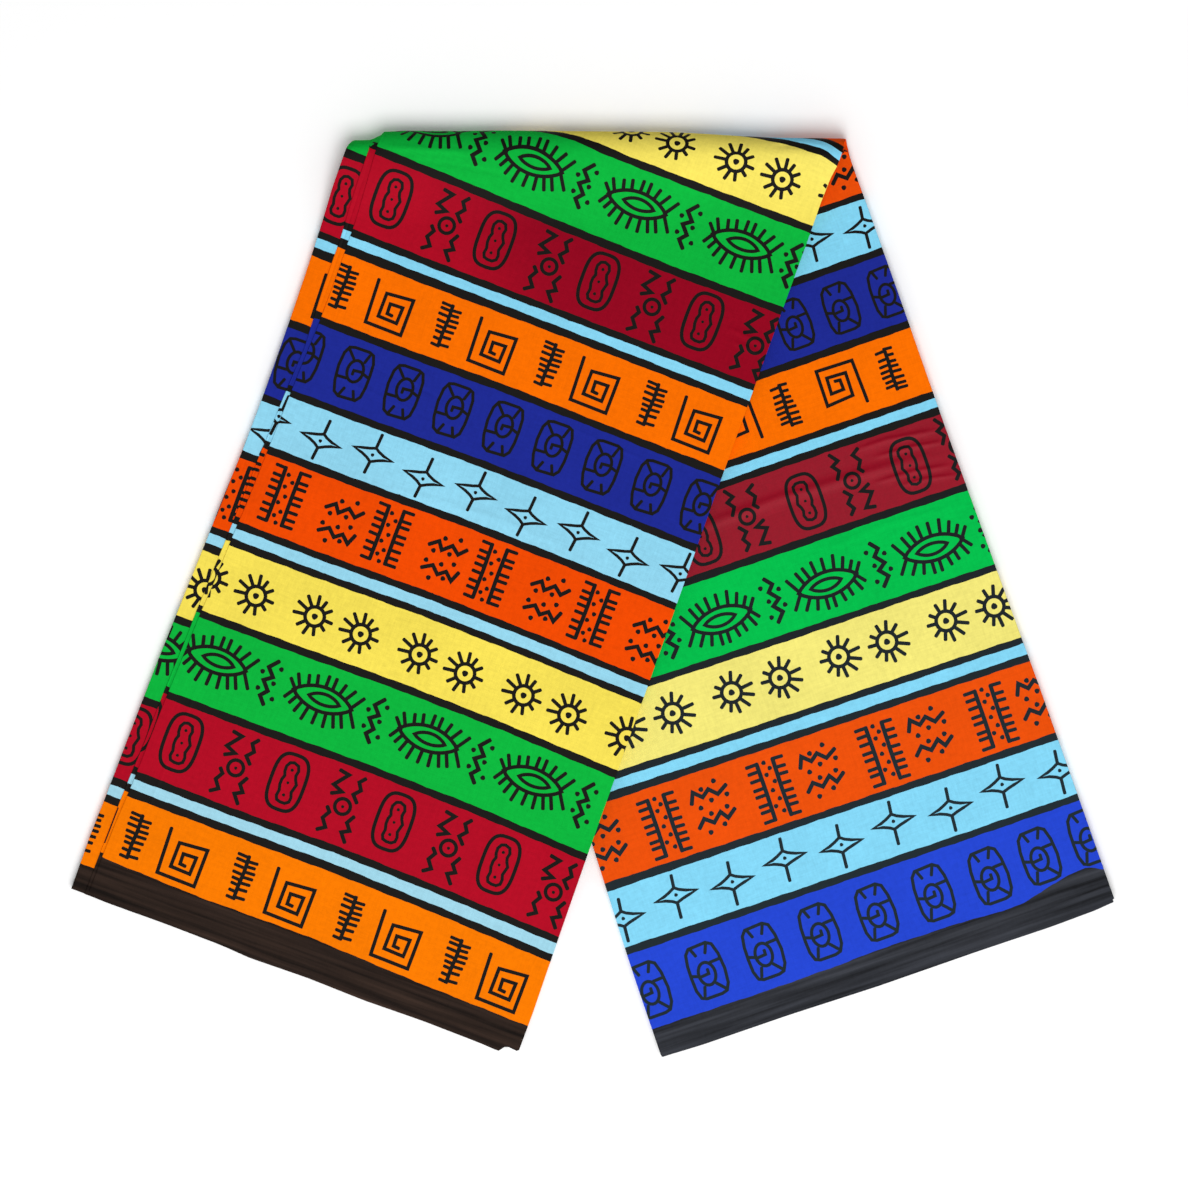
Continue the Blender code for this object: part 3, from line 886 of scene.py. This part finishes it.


# Creases and wrinkles
LEFT_RELIEF = (
    ridge(((-134, -56.5), (-100, -46.5), (-62, -37.0)), 2.4, 0.7),
    ridge(((-118, -60.0), (-80, -50.0), (-30, -43.0)), 2.0, -0.35),
    ridge(((104, 32.0), (124, 39.5), (147, 42.5)), 2.6, -1.1),
    ridge(((112, 46.0), (128, 50.0), (148, 53.0)), 2.4, 0.6),
    ridge(((118, -88.0), (134, -89.4), (151, -90.8)), 1.9, 0.45),
    ridge(((124, -95.6), (140, -96.4), (152, -98.6)), 1.6, 0.35),
    ridge(((-122, -203.0), (-88, -206.6), (-44, -209.4)), 1.3, 0.22),
    ridge(((-112, -190.0), (-70, -192.4), (-24, -196.6)), 1.2, -0.2),
    ridge(((40, -184.0), (84, -186.4), (126, -189.4)), 1.4, 0.22),
    ridge(((-60, -262.0), (20, -256.5), (92, -257.8)), 2.6, 0.3),
    ridge(((-126.2, -560), (-124.0, -480), (-119.6, -360)), 1.2, 0.22),
    ridge(((88.0, -560), (92.4, -430), (90.6, -330)), 2.8, 0.35),
    ridge(((20.0, -340), (16.6, -240), (22.4, -150)), 3.0, -0.3),
)
SECOND_RELIEF = (
    ridge(((-144.0, -568), (-141.0, -470), (-138.6, -380)), 0.5, -0.3),
    ridge(((-136.9, -330), (-133.8, -250), (-131.9, -190)), 0.5, -0.3),
    ridge(((-131.8, -178), (-132.6, -120), (-134.6, -62)), 0.6, -0.35),
)
RIGHT_RELIEF = (
    ridge(((-40, 263.0), (-10, 261.4), (34, 260.3), (61, 262.1), (85, 262.8), (118, 264.8), (150, 269.4)),
          3.2, 1.0),
    ridge(((84, 247.0), (112, 247.4), (151, 253.0)), 1.7, 0.7),
    ridge(((96, 255.2), (124, 257.0), (151, 261.2)), 1.5, 0.6),
    ridge(((90, 271.0), (122, 272.6), (151, 277.4)), 1.6, 0.6),
    ridge(((108, 278.0), (130, 280.2), (152, 284.6)), 1.4, 0.45),
    ridge(((40, 302.0), (92, 299.0), (150, 303.4)), 2.2, 0.3),
    ridge(((-96.0, 320), (-92.4, 420), (-97.0, 540)), 3.2, 0.35),
    ridge(((60.0, 330), (63.6, 450), (58.8, 556)), 3.0, -0.3),
)

# The left leg

left_top = printed(
    "left_top_layer",
    ("left_top_sheet", "fold_top_sheet"),
    outline_of(TOP_EDGE, RIGHT_EDGE, end_of(-575.0, 0.4, 1.0), far_end(TOP, top_bulge, top_settle)),
    sheet_carry(TOP, "left", left=TOP_EDGE, bulge=top_bulge, settle=top_settle, relief=LEFT_RELIEF),
    placed(LEFT_MOTIFS),
    roll=(FOLD_START, 42.0),
    columns=edge_rows(TOP_EDGE, -574.0, -30.0) + crease_rows(LEFT_RELIEF),
)
SECOND = TOP - 2 * LAYER
left_second = printed(
    "left_second_layer",
    ("left_second_sheet",),
    outline_of(SECOND_EDGE, lambda v: 0 * v - 108.0, end_of(-576.6, 0.4, 2.2), far_end(SECOND, second_bulge)),
    sheet_carry(SECOND, "left", left=SECOND_EDGE, bulge=second_bulge, relief=SECOND_RELIEF),
    placed(SECOND_MOTIFS),
    shift=2.6,
    roll=(FOLD_START, 34.0),
    columns=edge_rows(SECOND_EDGE, -576.0, -30.0) + crease_rows(SECOND_RELIEF),
)
OUTER = TOP - 4 * LAYER
left_outer = printed(
    "left_outer_layer",
    (),
    outline_of(OUTER_EDGE, lambda v: 0 * v - 119.5, end_of(-576.4, 0.3, 3.1), far_end(OUTER, outer_bulge)),
    sheet_carry(OUTER, "left", left=OUTER_EDGE, bulge=outer_bulge),
    placed(OUTER_MOTIFS),
    shift=-8.8,
    roll=(FOLD_START, 32.0),
    columns=edge_rows(OUTER_EDGE, -578.0, -30.0),
)
left_underside = printed(
    "left_underside",
    (),
    outline_of(LOW_EDGE, RIGHT_EDGE, end_of(-576.0, 0.4, 4.0), lambda t: 0 * t - HALF_ROLL),
    sheet_carry(BOTTOM, "left", left=LOW_EDGE, down=1),
    placed(LEFT_MOTIFS, mirrored=True),
    shift=-4.0,
    step=6.0,
    columns=edge_rows(LOW_EDGE, -575.0, -60.0),
    flip=True,
)

# The right leg

NEAR_END = HALF_ROLL - math.pi * (ROLL + BOTTOM) + 0.3  # the s where this leg's top layer begins
right_top = printed(
    "right_top_layer",
    ("right_top_sheet",),
    outline_of(RIGHT_LEFT, RIGHT_RIGHT, end_of(577.6, 0.4, 2.0), lambda t: 0 * t + NEAR_END,
               offset_right=-FLANGE),
    sheet_carry(BOTTOM, "right", left=RIGHT_LEFT, right=RIGHT_RIGHT, down=1, relief=RIGHT_RELIEF),
    placed(RIGHT_MOTIFS, mirrored=True),
    roll=(NEAR_END, HALF_ROLL + 1.4),
    columns=(edge_rows(RIGHT_LEFT, -40.0, 577.0) + edge_rows(RIGHT_RIGHT, 60.0, 577.0, -1)
             + crease_rows(RIGHT_RELIEF)),
    flip=True,
)
right_underside = printed(
    "right_underside",
    (),
    outline_of(RIGHT_LEFT, RIGHT_RIGHT, end_of(576.0, 0.4, 0.6), lambda t: 0 * t + HALF_ROLL, 0.0),
    sheet_carry(TOP, "right"),
    placed(RIGHT_MOTIFS),
    shift=3.0,
    step=6.0,
)

# The hidden layers, layered at the edges

LEAVES = 8
# Round a leaf's edge: how far down from its middle, by its thickness, and what share of its reach out
PROFILE = ((-0.40, 0.55), (-0.22, 0.90), (0.0, 1.0), (0.22, 0.90), (0.40, 0.55))


def skew(middle):
    """How far the rows side by side with the fold line are blended in, at v on the strip's middle."""
    return 1 - smooth((np.abs(middle) - 16) / 114)


# How far from the strip's middle the left leg's selvage ends at u, and the right leg's
LEFT_END = along(((-155, 576.2), (-130, 577.4), (-90, 577.1), (-50, 577.7), (-30, 579.1), (10, 578.4),
                  (50, 579.5), (90, 578.9), (130, 579.6), (142.6, 580.4), (145.4, 576.6), (148, 575.6),
                  (155, 576.4)))
RIGHT_END = along(((-155, 578.4), (-130, 579.4), (-70, 579.5), (-10, 580.8), (60, 580.6), (110, 581.1),
                   (140, 580.4), (155, 579.0)))
STACK_END = 574.6  # how far the stack goes without its leaves


def hidden_rows():
    """Rows across the strip: one wherever a colour begins at either side, and even ones between."""
    fine = np.linspace(-STACK_END, STACK_END, 22985)  # 0.05 mm apart
    even = ((-570, -14, 8.0), (14, 571, 8.0), (-13.4, 13.5, 1.1))
    rows = [(-STACK_END, STACK_END), *(np.arange(*span) for span in even)]
    for u in (-152.0, 152.0):
        reached = fine + skew(fine) * u * math.tan(LEAN)
        begins = line_starts(u)[:, 0]
        inside = (begins > reached[0]) & (begins < reached[-1])
        rows.append(np.interp(begins[inside], reached, fine))
    rows = np.sort(np.concatenate(rows))
    return rows[np.diff(rows, prepend=-np.inf) > 0.35]


def leaf_outset(side, k, x):
    """How far leaf k of the stack's edge stands out at x along it, in millimetres.

    The sides are 0 and 1, left and right, and 2 and 3, the left leg's selvage and the right leg's.
    """
    a, b = math.sin(12.9898 * (k + 1) + 78.233 * side), math.sin(39.425 * (k + 1) + 11.135 * side)
    slow = np.sin(x / (61.0 + 23 * a) + 5 * b) + 0.6 * np.sin(x / (23.0 + 7 * b) + 9 * a)
    if side < 2:
        return np.minimum(0.9 + 0.7 * a + 0.35 * slow, 1.5)
    share = min(1.0, 0.55 + 0.6 * b)
    end = (LEFT_END, RIGHT_END)[side - 2](x)
    return (end - STACK_END) * share + 0.25 * slow * (1 - share)


INSET = 1.6  # of the stack's two sides from the layers' edges
SIDE = 151.0  # about how far they are from the strip's middle
VALLEY = 0.5  # how far in the edge goes between two leaves


def stack_grid():
    """The points of the stack's upper and lower face: u, v and their two heights, in rows."""
    middle = hidden_rows()
    lean = skew(middle) * math.tan(LEAN)
    left_v, right_v = middle - SIDE * lean, middle + SIDE * lean
    left_u = np.where(left_v > 20, RIGHT_LEFT(left_v), -151.2)
    left_u = np.where(left_v < -20, OUTER_EDGE(left_v), left_u) + INSET
    right_u = np.where(right_v < 40, RIGHT_EDGE(right_v), RIGHT_RIGHT(right_v)) - INSET
    right_u += 1.2 * np.maximum(1 - np.abs(right_v - 50) / 60, 0)
    left_u, right_u = (np.convolve(np.pad(x, 2, "edge"), np.full(5, 0.2), "valid") for x in (left_u, right_u))
    parts = ((0, 0.24, 12), (0.24, 0.93, 27), (0.93, 1, 9))  # closer columns at the sides
    f = np.concatenate([[0.0]] + [np.linspace(*part)[1:] for part in parts])
    u = left_u[:, None] + (right_u - left_u)[:, None] * f
    v = middle[:, None] + lean[:, None] * u
    steps = (1 - smooth((u + 118) / 18)) * (1 - smooth((from_fold(u, v)[0] - 6) / 8))
    high = TOP - LAYER * (1.25 + 3.6 * steps)
    return u, v, high, np.full_like(u, BOTTOM + 1.25 * LAYER)


def leaf_loops(grid, rim):
    """Loops of points round the stack's edge, down its leaves, as (u, v, n)."""
    at_start, at_end = rim[0] == 0, rim[0] == rim[0].max()
    at_left, at_right = rim[1] == 0, rim[1] == rim[1].max()
    u0, v0, top, bottom = (x[rim] for x in grid)

    def loop(share, k, out):
        """The loop at that share of the way down, with leaf k standing out by that share of its reach."""
        du = leaf_outset(1, k, v0) * at_right - leaf_outset(0, k, v0) * at_left
        dv = leaf_outset(3, k, u0) * at_end - leaf_outset(2, k, u0) * at_start
        shift = 1.6 * math.sin(7.7 * k + 1.0) * (~at_start & ~at_end)
        deep = VALLEY * (1 - out)
        du = du * out + deep * (1.0 * at_left - at_right)
        dv = dv * out + deep * (1.0 * at_start - at_end) + shift
        return u0 + du, v0 + dv, top + (bottom - top) * share

    made = []
    for k in range(LEAVES):
        made += [loop((k + 0.5 + down) / LEAVES, k, out) for down, out in PROFILE]
        if k < LEAVES - 1:
            made.append(loop((k + 1.0) / LEAVES, k, 0.0))
    return made


def hidden_stack():
    """The hidden layers as one rounded solid, layered at its edges."""
    grid = stack_grid()
    u, v, high, low = grid
    rows, cols = u.shape
    rim = [(j, 0) for j in range(rows)] + [(rows - 1, i) for i in range(1, cols)]
    rim += [(j, cols - 1) for j in range(rows - 2, -1, -1)] + [(0, i) for i in range(cols - 2, 0, -1)]
    rim = tuple(np.array(rim).T)
    loops = leaf_loops(grid, rim)
    faces_of_grid = [tuple(x.ravel() for x in (u, v, n)) for n in (high, low)]
    flat_u, flat_v, flat_n = (np.concatenate(x) for x in zip(*faces_of_grid, *loops))
    points = place(flat_u, flat_v, flat_n, "middle", hidden_bulge)
    index = np.arange(u.size).reshape(rows, cols)
    quads = np.stack([index[:-1, :-1], index[:-1, 1:], index[1:, 1:], index[1:, :-1]], -1).reshape(-1, 4)
    count = len(rim[0])
    after = np.roll(np.arange(count), -1)
    ids = [index[rim]] + [2 * u.size + count * k + np.arange(count) for k in range(len(loops))]
    ids.append(index[rim] + u.size)
    bands = [np.stack([a, a[after], b[after], b], -1) for a, b in zip(ids, ids[1:])]
    faces = np.concatenate([quads, quads[:, ::-1] + u.size, *bands])
    face_numbers = colour_numbers(u.ravel()[quads].mean(1), v.ravel()[quads].mean(1))
    band_numbers = colour_numbers(*((x[rim] + x[rim][after]) / 2 for x in (u, v)))
    numbers = np.concatenate([face_numbers] * 2 + [band_numbers] * len(bands))
    flat = np.stack([flat_u + 0.7 * flat_n, flat_v], 1)
    return finished("hidden_layers", points, faces, numbers, flat, None,
                    ("left_hidden_layers", "fold_hidden_layers", "right_hidden_layers"))


hidden = hidden_stack()
hidden.data.set_sharp_from_angle(angle=math.radians(70))

# Stage, light and camera

FLOOR_HALF = 4  # how far the floor goes to each side, in metres
FLOOR_HEIGHT = -0.0003  # just under the cloth
PICTURE_WIDTH = 0.7712  # in metres, at the height of the cloth
PICTURE_MIDDLE = (0.0013, -0.0008)
CLOTH_HEIGHT = 0.012
CAMERA_HEIGHT = 5
SENSOR = 36


def pale_floor():
    """A pale floor that glows a little, so that the cloth's shadow on it stays faint."""
    material = bpy.data.materials.new("pale_floor")
    material.use_nodes = True
    fill(material.node_tree.nodes["Principled BSDF"], {
        "Base Color": (0.96, 0.96, 0.96, 1),
        "Roughness": 0.9,
        "Emission Color": (1, 1, 1, 1),
        "Emission Strength": 0.08,
    })
    mesh = bpy.data.meshes.new("floor")
    corners = ((-1, -1), (1, -1), (1, 1), (-1, 1))
    mesh.from_pydata([(x * FLOOR_HALF, y * FLOOR_HALF, FLOOR_HEIGHT) for x, y in corners], [], [range(4)])
    mesh.materials.append(material)
    floor = add_to_scene("floor", mesh)


def soft_room():
    """White light from all round, which falls off from the lower side of the picture to the upper."""
    world = bpy.data.worlds.new("soft_room")
    bpy.context.scene.world = world
    world.use_nodes = True
    tree = world.node_tree
    whence = add_node(tree, "TexCoord", "Generated", {})
    across = add_node(tree, "SeparateXYZ", "Y", {"Vector": whence})
    fall = add_node(tree, "Math", "Value", {0: across, 1: -0.5, 2: 0.5}, operation="MULTIPLY_ADD")
    fill(tree.nodes["Background"], {"Color": (1, 1, 1, 1), "Strength": fall})


def key_light():
    """One wide lamp above the lower side of the picture."""
    lamp = bpy.data.lights.new("key", "AREA")
    lamp.shape = "SQUARE"
    lamp.size = 2.0
    lamp.energy = 71
    at, toward = Vector((0.25, -1.3, 3.0)), Vector((0, -0.02, 0))
    key = add_to_scene("key", lamp)
    key.location = at
    key.rotation_euler = (toward - at).to_track_quat("-Z", "Y").to_euler()


def camera_above():
    """A camera high over the cloth, looking straight down."""
    camera = bpy.data.cameras.new("camera")
    camera.sensor_width = SENSOR
    camera.lens = SENSOR * (CAMERA_HEIGHT - CLOTH_HEIGHT) / PICTURE_WIDTH
    camera.clip_end = 50
    view = add_to_scene("camera", camera)
    view.location = (*PICTURE_MIDDLE, CAMERA_HEIGHT)
    bpy.context.scene.camera = view


pale_floor()
soft_room()
key_light()
camera_above()
bpy.context.scene.view_settings.view_transform = "Standard"
